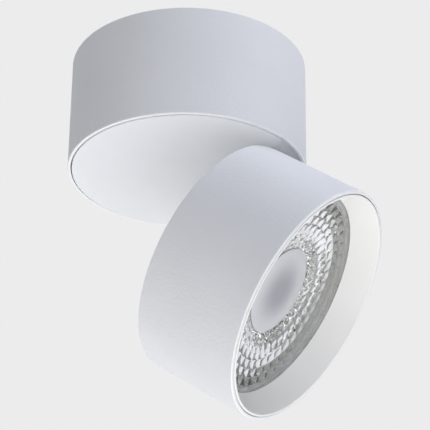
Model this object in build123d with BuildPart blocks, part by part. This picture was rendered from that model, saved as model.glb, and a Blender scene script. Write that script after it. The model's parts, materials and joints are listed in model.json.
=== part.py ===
from build123d import *
import math
import os

# Surface mounted ceiling spotlight: a short can on the ceiling carries a turntable in its
# lower end, and a second can of the same diameter hinges on the turntable near its edge.
# Millimetres, +Z up, origin on the ceiling plane at the centre of the mounting plate.
# The head is modelled at the tilt it has at rest.

# ---------------------------------------------------------------- driving dimensions
# the two cans
body_diameter = 100.0  # outside diameter of the ceiling can and of the head
can_wall = 1.2
base_height = 49.5  # ceiling to the lower rim of the ceiling can
head_length = 46.5  # back edge to front edge of the head's can
rim_round = 0.4

# mounting plate and its bayonet
plate_thickness = 1.5
plate_edge_gap = 2.8  # between the plate and the inside of the can
slot_spacing = 74.0
slot_length = 10.0
slot_width = 4.5
tab_width = 14.0
tab_drop = 3.5  # height of the bent legs under the plate
lug_thickness = 2.0
bayonet_gap = 0.1
lock_leg_width = 9.0
lock_leg_drop = 7.5
grommet_bore = 9.0
grommet_wall = 2.5
grommet_lip = 1.5
grommet_at = (-20.0, 26.0)
lock_screw_diameter = 3.0

# screws: a plain shank, a round head and a six-sided socket
small_shank = 2.9
small_hole = 1.5  # radius of the hole that a small screw bites into
clear_hole = 1.6  # radius of the hole that it passes through
thin_shank = 2.4
thin_hole = 1.25
thin_clear_hole = 1.3
driver_screw_head = 2.4  # radius
block_screw_head = 2.4
earth_screw_head = 2.6
ring_screw_head = 2.3
arm_screw_head = 2.75
back_screw_head = 2.7
sink_screw_head = 2.2
cob_screw_head = 2.2
pin_head = 2.6
head_share = 0.62  # height of a head as a share of its radius
socket_width_share = 0.46
socket_share = 0.6  # depth of a socket as a share of its head

# driver and mains connection
driver_length = 58.0
driver_width = 34.0
driver_height = 21.0
driver_wall = 1.5
driver_corner = 2.0
driver_offset = -6.0  # along Y, so that the output lead leaves on the pan axis
driver_ear = 8.0
board_thickness = 1.6
board_margin = 1.0
board_lift = 2.0  # over the driver's lid
board_post_inset = 7.0
board_post_radius = 1.5
core_length = 16.0
core_width = 15.0
core_height = 12.0
bobbin_length = 13.0
bobbin_width = 19.0
bobbin_height = 7.0
capacitor_radius = 4.5
capacitor_height = 12.5
capacitor_spacing = 12.0
block_length = 30.0
block_width = 16.0
block_height = 14.0
block_at = (9.0, 24.0)
block_poles = 3
sleeve_radius = 2.2
terminal_recess = 1.0
terminal_slot_depth = 1.0
terminal_slot_width = 0.7
earth_tag_radius = 3.4
earth_tag_thickness = 1.0
earth_tag_gap = 1.1  # between the driver's end and the tag
earth_bend = 1.6
wire_drop = 6.0  # from the terminals down to the driver's inlets
wire_diameter = 2.2
wire_bite = 2.0  # length of a wire inside the terminal block

# turntable
disc_thickness = 3.5
disc_proud = 0.4  # how far the disc stands out of the can's rim
disc_gap = 0.5
ledge_width = 4.6
ledge_thickness = 2.0
glide_thickness = 0.8
running_gap = 0.1
ring_thickness = 1.5
ring_width = 9.3
boss_radius = 2.6
boss_floor = 0.8  # left under the screw holes of the bosses
pocket_inset = 12.5  # hinge pocket in the disc, from the outside of the can to its inner edge
pocket_width = 24.8
pocket_flare = 8.5  # from the outside of the can to where the pocket's sides turn outwards at 45 degrees
pocket_depth = 2.4
stop_height = 3.0
stop_width = 3.0
stop_reach = 3.6  # of the can's stop, inwards from its bore
stop_lift = 0.5  # over the ring
tab_inset = 1.3  # of the ring's own stop, from the ring's edge
tab_length = 2.0

# tilting hinge
fold_gap = 3.0  # between the two cans when the head is folded up
hinge_inset = 6.5  # from the outside of the cans to the pin
hinge_depth = 6.0  # from the back edge of the head to the pin
tilt_at_rest = 55.4  # degrees from straight down
pin_diameter = 3.0
pin_clearance = 0.05
arm_width = 10.0
arm_thickness = 5.0
arm_crank = 10.5  # pin axis to the middle of the upright leg
arm_reach_thickness = 3.6
knuckle_radius = 3.4
arm_corner = 2.5
arm_slot_clearance = 0.1
ear_thickness = 3.0
washer_thickness = 0.5
washer_gap = 0.05
foot_length = 20.0
foot_width = 16.0
foot_thickness = 3.0
foot_toe = 1.5  # how far the foot runs past the leg
foot_corner = 2.0
arm_screw_spacing = 9.7
arm_screw_shift = 1.0  # towards the leg, from the middle of the foot's free part
arm_screw_bite = 2.8

# lead from the driver to the light source
lead_diameter = 2.6
lead_offset = 12.0  # along Y, from the middle of the arm
lead_split_gap = 0.2  # where the lead twists on the pan axis and on the pin axis
lead_lift = 4.0  # over the arm's foot
lead_bend = 3.4
lead_small_bend = 2.6
lead_side_run = 3.4  # along the pin axis, past the arm
lead_grommet_wall = 1.1
lead_lip = 0.8
lead_over_fins = 1.0
lead_over_cob = 0.3
nut_thickness = 2.0
nut_radius = 2.8
pin_overrun = 0.4  # of the pin past its nut
lead_turn_x = 26.0  # where the lead turns over the fins
wire_hole_at = (17.5, 9.0)

# head, measured back from its front edge
groove_width = 0.35  # shadow line between the can and the baffle
baffle_lip = 0.95
baffle_proud = 0.3
baffle_round = 0.3
baffle_depth = 11.5
baffle_narrowing = 3.9
baffle_wall = 1.3
baffle_ribs = 6
rib_width = 1.5
rib_sink = 0.2  # of the ribs' middles into the baffle
lens_overlap = 1.4  # how far the lens runs under the baffle
lens_flange = 2.5
cone_depth = 5.0
cone_margin = 4.1  # from the lens's edge in to the faceted cone
foot_band = 1.0  # smooth ring between the cone and the well
well_radius = 25.5
well_taper = 4.0
well_depth = 2.0
bowl_radius = 26.5  # edge of the shallow bowl in the middle of the lens's front
bowl_taper = 7.9
bowl_depth = 4.0
facets_round = 40
facet_rows = 4
well_rows = 2
bowl_rows = 3
diffuser_thickness = 0.5
holder_wall = 1.2
holder_gap = 0.5
sink_front = 25.0
sink_thickness = 4.0
fin_clearance = 0.9  # between the fins and the hinge
fin_thickness = 1.2
fin_pitch = 5.0
fin_edge_gap = 2.0  # from the sink's edge to the fins
screw_well = 4.2  # radius cut from the fins round a screw
wire_well = 3.2
back_thickness = 2.0
back_recess = 0.4
vent_count = 4
vent_length = 30.0
vent_width = 2.4
vent_pitch = 8.0
vent_offset = 9.0  # away from the hinge
fit_gap = 0.3
post_radius = 3.2
post_bite = 6.0  # of the back plate's screws
post_hole_depth = 7.0
sink_bite = 5.0
post_inset = 10.8  # from the inside of the can to the posts' middles
housing_boss_radius = 3.0
housing_boss_length = 9.0
cob_size = 28.0
cob_thickness = 1.0
emitter_radius = 9.5
emitter_thickness = 0.6
cob_holder_radius = 22.0
cob_holder_height = 3.5
cob_window_gap = 0.6
cob_window_slope = 2.9
cob_screw_spacing = 36.0
cob_bite = 3.0
wire_notch_length = 6.0
wire_notch_width = 5.0

# ---------------------------------------------------------------- worked out from them
body_radius = body_diameter / 2
bore_radius = body_radius - can_wall
rim_z = -base_height

plate_radius = bore_radius - plate_edge_gap
tab_angles = (30.0, 150.0, 270.0)
tab_foot_z = -plate_thickness - tab_drop
lug_z = tab_foot_z + plate_thickness + bayonet_gap
lug_inner_radius = plate_radius + 0.6
leg_circle = plate_radius - plate_thickness / 2 - fit_gap  # middle of the bent legs
leg_outside = leg_circle + plate_thickness / 2
lock_z = -plate_thickness - lock_leg_drop / 2

disc_radius = bore_radius - disc_gap
disc_bottom = rim_z - disc_proud
disc_top = disc_bottom + disc_thickness
lower_glide_top = disc_top + glide_thickness
ledge_bottom = lower_glide_top + running_gap
ledge_top = ledge_bottom + ledge_thickness
upper_glide_bottom = ledge_top + running_gap
ring_bottom = upper_glide_bottom + glide_thickness
ring_top = ring_bottom + ring_thickness
ledge_radius = bore_radius - ledge_width
glide_inner = ledge_radius + fit_gap
glide_outer = bore_radius - 2 * disc_gap
ring_inner = glide_outer - ring_width
boss_circle = ledge_radius - boss_radius - 2 * running_gap - fit_gap

hinge_radius = body_radius - hinge_inset
pin_z = rim_z - fold_gap - hinge_depth
leg_x = hinge_radius - arm_crank
pin_radius = pin_diameter / 2
pin_bore = pin_radius + pin_clearance
ear_inner = arm_width / 2 + washer_thickness + 2 * washer_gap
ear_outer = ear_inner + ear_thickness
ear_radius = knuckle_radius + 0.2
lead_radius = lead_diameter / 2

driver_top = -plate_thickness
driver_bottom = driver_top - driver_height
lid_bottom = driver_bottom - driver_wall
driver_plan = (0, driver_offset)
driver_side = driver_offset + driver_width / 2
driver_ear_y = driver_offset - driver_width / 2 - driver_ear / 2 + driver_wall
driver_screw_x = (driver_length - driver_ear) / 2
driver_screw_plan = [(side * driver_screw_x, driver_ear_y) for side in (-1, 1)]

block_bottom = -plate_thickness - block_height
block_front = block_at[1] - block_width / 2
pole_pitch = block_length / block_poles
first_pole = block_at[0] - pole_pitch * (block_poles - 1) / 2
pole_plan = [(first_pole + pole_pitch * n, block_at[1]) for n in range(block_poles)]
block_screw_plan = [(pole_plan[n][0] + pole_pitch / 2, block_at[1]) for n in range(block_poles - 1)]
entry_z = -plate_thickness - block_height / 2
wire_radius = wire_diameter / 2
wire_bore = wire_radius + fit_gap / 2
wire_middle = (block_front + driver_side) / 2
wire_low = entry_z - wire_drop

# the head's own frame: origin at the middle of its front edge, X towards the hinge, Z to its back
tilt = math.radians(tilt_at_rest)
head_x = Vector(math.cos(tilt), 0, math.sin(tilt))
head_z = Vector(-math.sin(tilt), 0, math.cos(tilt))
pin_depth = head_length - hinge_depth
head_origin = Vector(hinge_radius, 0, pin_z) - head_x * hinge_radius - head_z * pin_depth
head = Plane(origin=head_origin, x_dir=head_x, z_dir=head_z)
head_section = Plane(origin=head_origin, x_dir=head_x, z_dir=(0, -1, 0))  # radius, depth
head_axis = Axis(head_origin, head_z)

baffle_outer = bore_radius - groove_width
baffle_mouth = baffle_outer - baffle_lip
baffle_throat = baffle_mouth - baffle_narrowing
lens_radius = baffle_throat + lens_overlap
lens_back = baffle_depth + lens_flange
cone_radius = lens_radius - cone_margin
cone_foot_radius = well_radius + foot_band
well_top_radius = well_radius - well_taper
cone_foot = lens_back + cone_depth
well_top = cone_foot - well_depth
bowl_floor_radius = bowl_radius - bowl_taper
bowl_floor = baffle_depth + bowl_depth
sink_back = sink_front + sink_thickness
fin_top = pin_depth - ear_radius - fin_clearance
fin_height = fin_top - sink_back
back_outer = head_length - back_recess
back_inner = back_outer - back_thickness
sink_radius = bore_radius - fit_gap
post_circle = bore_radius - post_inset
housing_boss_circle = bore_radius - housing_boss_radius + 0.2
housing_boss_angles = (60.0, 180.0, 300.0)
post_angles = (90.0, 180.0, 270.0)


def on_circle(radius, angle):
    """A point of the plan at that radius and angle in degrees."""
    return (radius * math.cos(math.radians(angle)), radius * math.sin(math.radians(angle)))


def head_point(x, y, depth):
    """A point of the head's own frame in the frame of the whole lamp."""
    return head.from_local_coords(Vector(x, y, depth))


def add_screw(plane, diameter, length, head_radius):
    """Adds a screw to the part being built: seated on the plane, its shank along the plane's -Z."""
    head_height = head_radius * head_share
    with BuildSketch(plane) as head_outline:
        Circle(head_radius)
    extrude(head_outline.sketch, amount=head_height)
    with BuildSketch(plane) as shank_outline:
        Circle(diameter / 2)
    extrude(shank_outline.sketch, amount=-length)
    with BuildSketch(plane.offset(head_height)) as socket_outline:
        RegularPolygon(head_radius * socket_width_share, 6)
    extrude(socket_outline.sketch, amount=-head_height * socket_share, mode=Mode.SUBTRACT)


def add_lead(route_points, bend_radii, diameter):
    """Adds a round lead to the part being built, along straight runs joined by arcs."""
    with BuildLine() as route:
        FilletPolyline(*route_points, radius=bend_radii)
    with BuildSketch(Plane(origin=route.line @ 0, z_dir=route.line % 0)) as section:
        Circle(diameter / 2)
    sweep(section.sketch, path=route.line)


os.makedirs("parts", exist_ok=True)

# ---------------------------------------------------------------- ceiling plate
with BuildPart() as ceiling_plate:
    with BuildSketch(Plane.XY.offset(-plate_thickness)):
        Circle(plate_radius)
        with GridLocations(slot_spacing, 0, 2, 1):
            SlotOverall(slot_length, slot_width, mode=Mode.SUBTRACT)
        with Locations(grommet_at):
            Circle(grommet_bore / 2 + grommet_wall, mode=Mode.SUBTRACT)
    extrude(amount=plate_thickness)
    foot_outer = bore_radius - fit_gap - tab_width**2 / (8 * bore_radius)
    foot_span = foot_outer - plate_radius + plate_thickness
    with BuildSketch(Plane.XY.offset(tab_foot_z)):
        for angle in tab_angles:
            with Locations(Location((*on_circle(leg_circle, angle), 0), angle)):
                Rectangle(plate_thickness, tab_width)
    extrude(amount=tab_drop + plate_thickness / 2)
    with BuildSketch(Plane.XY.offset(-plate_thickness - lock_leg_drop)):
        with Locations((0, leg_circle)):
            Rectangle(lock_leg_width, plate_thickness)
    extrude(amount=lock_leg_drop + plate_thickness / 2)
    with BuildSketch(Plane.XY.offset(-plate_thickness)):
        with Locations(*driver_screw_plan, *block_screw_plan):
            Circle(small_hole)
    extrude(amount=plate_thickness, mode=Mode.SUBTRACT)
    with BuildSketch(Plane.XY.offset(tab_foot_z)):
        for angle in tab_angles:
            with Locations(Location((*on_circle(foot_outer - foot_span / 2, angle), 0), angle)):
                Rectangle(foot_span, tab_width)
    extrude(amount=plate_thickness)
ceiling_plate.part.label = "ceiling_plate"
export_step(ceiling_plate.part, "parts/ceiling_plate.step")

# ---------------------------------------------------------------- cable grommet in the plate
with BuildPart() as cable_grommet:
    grommet_axis = Plane(origin=(*grommet_at, 0))
    grommet_bottom = -plate_thickness - grommet_lip
    with BuildSketch(grommet_axis.offset(grommet_bottom)):
        Circle(grommet_bore / 2 + grommet_wall)
    extrude(amount=-grommet_bottom)
    with BuildSketch(grommet_axis.offset(grommet_bottom)):
        Circle(grommet_bore / 2 + grommet_wall + grommet_lip)
    extrude(amount=grommet_lip)
    with BuildSketch(grommet_axis):
        Circle(grommet_bore / 2)
    extrude(amount=grommet_bottom, mode=Mode.SUBTRACT)
cable_grommet.part.label = "cable_grommet"
export_step(cable_grommet.part, "parts/cable_grommet.step")

# ---------------------------------------------------------------- ceiling can
lug_outer = bore_radius + can_wall / 3
stop_inner = bore_radius - stop_reach
stop_z = ring_top + stop_lift
with BuildPart() as base_housing:
    with BuildSketch(Plane.XZ):
        with BuildLine():
            Polyline(
                (body_radius, 0),
                (body_radius, rim_z),
                (bore_radius, rim_z),
                (bore_radius, ledge_bottom),
                (ledge_radius, ledge_bottom),
                (ledge_radius, ledge_top),
                (bore_radius, ledge_top),
                (bore_radius, 0),
                close=True,
            )
        make_face()
    revolve(axis=Axis.Z)
    outer_rims = base_housing.edges().filter_by(GeomType.CIRCLE).group_by(SortBy.RADIUS)[-1]
    fillet(outer_rims.sort_by(Axis.Z)[0], rim_round)
    with BuildSketch(Plane.XY.offset(lug_z)):
        for angle in tab_angles:
            with Locations(Location((*on_circle((lug_inner_radius + lug_outer) / 2, angle), 0), angle)):
                Rectangle(lug_outer - lug_inner_radius, tab_width)
    extrude(amount=lug_thickness)
    with BuildSketch(Plane.XY.offset(stop_z)):
        with Locations(Location((-(stop_inner + lug_outer) / 2, 0, 0))):
            Rectangle(lug_outer - stop_inner, 2 * stop_width)
    extrude(amount=stop_height)
    with BuildSketch(Plane.XZ.offset(-lug_outer)):
        with Locations((0, lock_z)):
            Rectangle(lock_leg_width, lock_screw_diameter + 2 * lug_thickness)
    extrude(amount=lug_outer - lug_inner_radius)
    with BuildSketch(Plane.XZ.offset(-body_radius)):
        with Locations((0, lock_z)):
            Circle(lock_screw_diameter / 2)
    extrude(amount=body_radius - leg_outside, mode=Mode.SUBTRACT)
base_housing.part.label = "base_housing"
export_step(base_housing.part, "parts/base_housing.step")

# ---------------------------------------------------------------- grub screw that locks the bayonet
with BuildPart() as lock_screw:
    lock_tip = Plane(origin=(0, leg_outside, lock_z), z_dir=(0, 1, 0))
    lock_length = body_radius - leg_outside - rim_round
    with BuildSketch(lock_tip):
        Circle(lock_screw_diameter / 2 - pin_clearance)
    extrude(amount=lock_length)
    with BuildSketch(lock_tip.offset(lock_length)):
        RegularPolygon(lock_screw_diameter / 4, 6)
    extrude(amount=-lock_length / 2, mode=Mode.SUBTRACT)
lock_screw.part.label = "lock_screw"
export_step(lock_screw.part, "parts/lock_screw.step")

# ---------------------------------------------------------------- driver
with BuildPart() as driver_case:
    with BuildSketch(Plane.XY.offset(driver_bottom)):
        with Locations(driver_plan):
            RectangleRounded(driver_length, driver_width, driver_corner)
    extrude(amount=driver_height)
    with BuildSketch(Plane.XY.offset(driver_bottom)):
        with Locations(driver_plan):
            Rectangle(driver_length - 2 * driver_wall, driver_width - 2 * driver_wall)
    extrude(amount=driver_height - driver_wall, mode=Mode.SUBTRACT)
    with BuildSketch(Plane.XY.offset(driver_top)):
        with Locations(*driver_screw_plan):
            RectangleRounded(driver_ear, driver_ear, driver_wall)
            Circle(small_hole, mode=Mode.SUBTRACT)
    extrude(amount=-2 * driver_wall)
    with BuildSketch(Plane.XZ.offset(-driver_side)):
        with Locations((pole_plan[0][0], wire_low), (pole_plan[1][0], wire_low)):
            Circle(wire_bore)
    extrude(amount=driver_wall, mode=Mode.SUBTRACT)
driver_case.part.label = "driver_case"
export_step(driver_case.part, "parts/driver_case.step")

with BuildPart() as driver_lid:
    with BuildSketch(Plane.XY.offset(lid_bottom)):
        with Locations(driver_plan):
            RectangleRounded(driver_length, driver_width, driver_corner)
        Circle(lead_radius + pin_clearance, mode=Mode.SUBTRACT)
    extrude(amount=driver_wall)
driver_lid.part.label = "driver_lid"
export_step(driver_lid.part, "parts/driver_lid.step")

board_z = driver_bottom + board_lift
with BuildPart() as driver_board:
    with BuildSketch(Plane.XY.offset(board_z)):
        with Locations(driver_plan):
            inside = 2 * (driver_wall + board_margin)
            Rectangle(driver_length - inside, driver_width - inside)
        Circle(lead_radius + pin_clearance, mode=Mode.SUBTRACT)
    extrude(amount=board_thickness)
    with BuildSketch(Plane.XY.offset(driver_bottom)):
        with Locations(driver_plan):
            post_span_x = driver_length - 2 * board_post_inset
            post_span_y = driver_width - 2 * board_post_inset
            with GridLocations(post_span_x, post_span_y, 2, 2):
                Circle(board_post_radius)
    extrude(amount=board_z - driver_bottom)
driver_board.part.label = "driver_board"
export_step(driver_board.part, "parts/driver_board.step")

board_top = board_z + board_thickness
with BuildPart() as driver_transformer:
    core_at = (-driver_length / 4, driver_offset)
    with BuildSketch(Plane.XY.offset(board_top)):
        with Locations(core_at):
            Rectangle(core_length, core_width)
    extrude(amount=core_height)
    with BuildSketch(Plane.XY.offset(board_top + (core_height - bobbin_height) / 2)):
        with Locations(core_at):
            RectangleRounded(bobbin_length, bobbin_width, (bobbin_width - core_width) / 2)
    extrude(amount=bobbin_height)
driver_transformer.part.label = "driver_transformer"
export_step(driver_transformer.part, "parts/driver_transformer.step")

with BuildPart() as driver_capacitors:
    with BuildSketch(Plane.XY.offset(board_top)):
        with Locations((driver_length / 4, driver_offset)):
            with GridLocations(0, capacitor_spacing, 1, 2):
                Circle(capacitor_radius)
    extrude(amount=capacitor_height)
    fillet(driver_capacitors.faces().sort_by(Axis.Z)[-2:].edges(), capacitor_radius / 6)
driver_capacitors.part.label = "driver_capacitors"
export_step(driver_capacitors.part, "parts/driver_capacitors.step")

with BuildPart() as driver_screws:
    for x, y in driver_screw_plan:
        seat = Plane(origin=(x, y, driver_top - 2 * driver_wall), z_dir=(0, 0, -1))
        add_screw(seat, small_shank, 2 * driver_wall + plate_thickness - fit_gap, driver_screw_head)
driver_screws.part.label = "driver_screws"
export_step(driver_screws.part, "parts/driver_screws.step")

# ---------------------------------------------------------------- terminal block and its wires
with BuildPart() as terminal_block:
    with BuildSketch(Plane.XY.offset(block_bottom)):
        with Locations(block_at):
            Rectangle(block_length, block_width)
    extrude(amount=block_height)
    with BuildSketch(Plane.XY.offset(block_bottom)):
        with Locations(*pole_plan):
            Circle(sleeve_radius + fit_gap)
    extrude(amount=block_height / 2, mode=Mode.SUBTRACT)
    with BuildSketch(Plane.XY.offset(block_bottom)):
        with Locations(*block_screw_plan):
            Circle(small_hole)
    extrude(amount=block_height, mode=Mode.SUBTRACT)
    with BuildSketch(Plane.XZ.offset(-block_at[1] - block_width / 2)):
        with Locations(*[(x, entry_z) for x, _ in pole_plan]):
            Circle(sleeve_radius + running_gap)
    extrude(amount=block_width, mode=Mode.SUBTRACT)
terminal_block.part.label = "terminal_block"
export_step(terminal_block.part, "parts/terminal_block.step")

with BuildPart() as terminal_sleeves:
    with BuildSketch(Plane.XZ.offset(-block_at[1])):
        with Locations(*[(x, entry_z) for x, _ in pole_plan]):
            Circle(sleeve_radius)
            Circle(wire_bore, mode=Mode.SUBTRACT)
    extrude(amount=block_width / 2 - fit_gap, both=True)
terminal_sleeves.part.label = "terminal_sleeves"
export_step(terminal_sleeves.part, "parts/terminal_sleeves.step")

with BuildPart() as terminal_screws:
    slot_bottom = block_bottom + terminal_recess
    slot_top = slot_bottom + terminal_slot_depth
    with BuildSketch(Plane.XY.offset(slot_bottom)):
        with Locations(*pole_plan):
            Circle(sleeve_radius)
            Rectangle(1.5 * sleeve_radius, terminal_slot_width, mode=Mode.SUBTRACT)
    extrude(amount=terminal_slot_depth)
    with BuildSketch(Plane.XY.offset(slot_top)):
        with Locations(*pole_plan):
            Circle(sleeve_radius)
    extrude(amount=entry_z - sleeve_radius - running_gap - slot_top)
terminal_screws.part.label = "terminal_screws"
export_step(terminal_screws.part, "parts/terminal_screws.step")

with BuildPart() as block_screws:
    for x, y in block_screw_plan:
        seat = Plane(origin=(x, y, block_bottom), z_dir=(0, 0, -1))
        add_screw(seat, small_shank, block_height + plate_thickness - fit_gap, block_screw_head)
block_screws.part.label = "block_screws"
export_step(block_screws.part, "parts/block_screws.step")


def add_mains_wire(x):
    """Adds one wire to the part being built, from its terminal down and into the driver's side."""
    wire_bend = 0.8 * (block_front - driver_side) / 2
    add_lead(
        [
            (x, block_front + wire_bite, entry_z),
            (x, wire_middle, entry_z),
            (x, wire_middle, wire_low),
            (x, driver_side - driver_wall - wire_bite / 2, wire_low),
        ],
        wire_bend,
        wire_diameter,
    )


with BuildPart() as live_wire:
    add_mains_wire(pole_plan[0][0])
live_wire.part.label = "live_wire"
export_step(live_wire.part, "parts/live_wire.step")

with BuildPart() as neutral_wire:
    add_mains_wire(pole_plan[1][0])
neutral_wire.part.label = "neutral_wire"
export_step(neutral_wire.part, "parts/neutral_wire.step")

earth_at = (driver_length / 2 + earth_tag_radius + earth_tag_gap, wire_middle)
earth_seat = -plate_thickness - earth_tag_thickness
with BuildPart() as earth_screw:
    seat = Plane(origin=(*earth_at, earth_seat), z_dir=(0, 0, -1))
    add_screw(seat, small_shank, earth_tag_thickness, earth_screw_head)
    with BuildSketch(Plane.XY.offset(earth_seat)):
        with Locations(earth_at):
            Circle(earth_tag_radius)
    extrude(amount=earth_tag_thickness)
earth_screw.part.label = "earth_screw"
export_step(earth_screw.part, "parts/earth_screw.step")

with BuildPart() as earth_wire:
    earth_pole = pole_plan[-1][0]
    earth_tag = earth_at[0] - earth_tag_radius
    earth_z = -plate_thickness - wire_radius - 2 * running_gap
    add_lead(
        [
            (earth_pole, block_front + wire_bite, entry_z),
            (earth_pole, earth_at[1], entry_z),
            (earth_pole, earth_at[1], earth_z),
            (earth_tag - running_gap, earth_at[1], earth_z),
        ],
        earth_bend,
        wire_diameter,
    )
earth_wire.part.label = "earth_wire"
export_step(earth_wire.part, "parts/earth_wire.step")

lead_cross_z = disc_top + foot_thickness + lead_lift
lead_split_z = (lid_bottom + lead_cross_z) / 2
with BuildPart() as driver_output_lead:
    with BuildSketch(Plane.XY.offset(lead_split_z)):
        Circle(lead_radius)
    extrude(amount=board_top - lead_split_z)
driver_output_lead.part.label = "driver_output_lead"
export_step(driver_output_lead.part, "parts/driver_output_lead.step")

# ---------------------------------------------------------------- turntable
boss_angles = (45.0, 135.0, 225.0, 315.0)
boss_plan = [on_circle(boss_circle, angle) for angle in boss_angles]
arm_screw_x = leg_x - arm_thickness / 2 - foot_length / 2 + arm_screw_shift
arm_screw_plan = [(arm_screw_x, side * arm_screw_spacing / 2) for side in (-1, 1)]
lead_hole = lead_radius + lead_grommet_wall
with BuildPart() as turntable_disc:
    with BuildSketch(Plane.XY.offset(disc_bottom)):
        Circle(disc_radius)
    extrude(amount=disc_thickness)
    fillet(turntable_disc.faces().sort_by(Axis.Z)[0].edges(), rim_round)
    with BuildSketch(Plane.XY.offset(disc_bottom)):
        with BuildLine():
            Polyline(
                (body_radius - pocket_inset, -pocket_width / 2),
                (body_radius - pocket_flare, -pocket_width / 2),
                (body_radius, -pocket_width / 2 - pocket_flare),
                (body_radius, pocket_width / 2 + pocket_flare),
                (body_radius - pocket_flare, pocket_width / 2),
                (body_radius - pocket_inset, pocket_width / 2),
                close=True,
            )
        make_face()
    extrude(amount=pocket_depth, mode=Mode.SUBTRACT)
    with BuildSketch(Plane.XY.offset(disc_top)):
        with Locations(*boss_plan):
            Circle(boss_radius)
    extrude(amount=ring_bottom - disc_top)
    with BuildSketch(Plane.XY.offset(ring_bottom)):
        with Locations(*boss_plan):
            Circle(thin_hole)
    extrude(amount=disc_top + boss_floor - ring_bottom, mode=Mode.SUBTRACT)
    with BuildSketch(Plane.XY.offset(disc_bottom)):
        with Locations((leg_x, 0)):
            Rectangle(arm_thickness + 2 * arm_slot_clearance, arm_width + 2 * arm_slot_clearance)
        with Locations((leg_x, lead_offset)):
            Circle(lead_hole)
    extrude(amount=disc_thickness, mode=Mode.SUBTRACT)
    with BuildSketch(Plane.XY.offset(disc_top)):
        with Locations(*arm_screw_plan):
            Circle(small_hole)
    extrude(amount=-arm_screw_bite, mode=Mode.SUBTRACT)
turntable_disc.part.label = "turntable_disc"
export_step(turntable_disc.part, "parts/turntable_disc.step")

with BuildPart() as lower_glide_ring:
    with BuildSketch(Plane.XY.offset(disc_top)):
        Circle(glide_outer)
        Circle(glide_inner, mode=Mode.SUBTRACT)
    extrude(amount=glide_thickness)
lower_glide_ring.part.label = "lower_glide_ring"
export_step(lower_glide_ring.part, "parts/lower_glide_ring.step")

with BuildPart() as upper_glide_ring:
    with BuildSketch(Plane.XY.offset(upper_glide_bottom)):
        Circle(glide_outer)
        Circle(glide_inner, mode=Mode.SUBTRACT)
    extrude(amount=glide_thickness)
upper_glide_ring.part.label = "upper_glide_ring"
export_step(upper_glide_ring.part, "parts/upper_glide_ring.step")

stop_tab_middle = glide_outer - tab_inset
with BuildPart() as retaining_ring:
    with BuildSketch(Plane.XY.offset(ring_bottom)):
        Circle(glide_outer)
        Circle(ring_inner, mode=Mode.SUBTRACT)
        with Locations(*boss_plan):
            Circle(small_hole, mode=Mode.SUBTRACT)
    extrude(amount=ring_thickness)
    with BuildSketch(Plane.XY.offset(ring_top)):
        with Locations((stop_tab_middle, 0)):
            Rectangle(tab_length, stop_width)
    extrude(amount=stop_height)
retaining_ring.part.label = "retaining_ring"
export_step(retaining_ring.part, "parts/retaining_ring.step")

with BuildPart() as ring_screws:
    for x, y in boss_plan:
        seat = Plane(origin=(x, y, ring_top))
        add_screw(seat, thin_shank, ring_top - disc_top - boss_floor - fit_gap, ring_screw_head)
ring_screws.part.label = "ring_screws"
export_step(ring_screws.part, "parts/ring_screws.step")

# ---------------------------------------------------------------- hinge arm
with BuildPart() as hinge_arm:
    reach_top = pin_z + arm_reach_thickness / 2
    reach_bottom = pin_z - arm_reach_thickness / 2
    leg_outer = leg_x - arm_thickness / 2
    leg_inner = leg_x + arm_thickness / 2
    with BuildSketch(Plane.XZ):
        with BuildLine():
            Polyline(
                (leg_outer, disc_top + foot_thickness / 2),
                (leg_outer, reach_bottom),
                (hinge_radius, reach_bottom),
                (hinge_radius, reach_top),
                (leg_inner, reach_top),
                (leg_inner, disc_top + foot_thickness / 2),
                close=True,
            )
        arm_face = make_face()
        corners = arm_face.vertices().sort_by(Axis.Z)
        fillet(corners.filter_by(lambda v: abs(v.X - leg_outer) < 0.01 and v.Z < pin_z), arm_corner)
        with Locations((hinge_radius, pin_z)):
            Circle(knuckle_radius)
    extrude(amount=arm_width / 2, both=True)
    with BuildSketch(Plane.XY.offset(disc_top)):
        with Locations((leg_x + arm_thickness / 2 + foot_toe - foot_length / 2, 0)):
            RectangleRounded(foot_length, foot_width, foot_corner)
        with Locations(*arm_screw_plan):
            Circle(clear_hole, mode=Mode.SUBTRACT)
    extrude(amount=foot_thickness)
    with BuildSketch(Plane.XZ):
        with Locations((hinge_radius, pin_z)):
            Circle(pin_bore)
    extrude(amount=arm_width / 2, both=True, mode=Mode.SUBTRACT)
hinge_arm.part.label = "hinge_arm"
export_step(hinge_arm.part, "parts/hinge_arm.step")

with BuildPart() as arm_screws:
    for x, y in arm_screw_plan:
        seat = Plane(origin=(x, y, disc_top + foot_thickness))
        add_screw(seat, small_shank, foot_thickness + arm_screw_bite - fit_gap, arm_screw_head)
arm_screws.part.label = "arm_screws"
export_step(arm_screws.part, "parts/arm_screws.step")

# ---------------------------------------------------------------- lead through the turntable
with BuildPart() as lead_grommet:
    grommet_plan = Plane(origin=(leg_x, lead_offset, 0))
    with BuildSketch(grommet_plan.offset(disc_bottom)):
        Circle(lead_hole)
    extrude(amount=disc_thickness)
    with BuildSketch(grommet_plan.offset(disc_bottom), grommet_plan.offset(disc_top + lead_lip)):
        Circle(lead_hole + lead_lip)
    extrude(amount=-lead_lip)
    with BuildSketch(grommet_plan.offset(disc_bottom - lead_lip)):
        Circle(lead_radius + pin_clearance)
    extrude(amount=disc_thickness + 2 * lead_lip, mode=Mode.SUBTRACT)
lead_grommet.part.label = "lead_grommet"
export_step(lead_grommet.part, "parts/lead_grommet.step")

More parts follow.
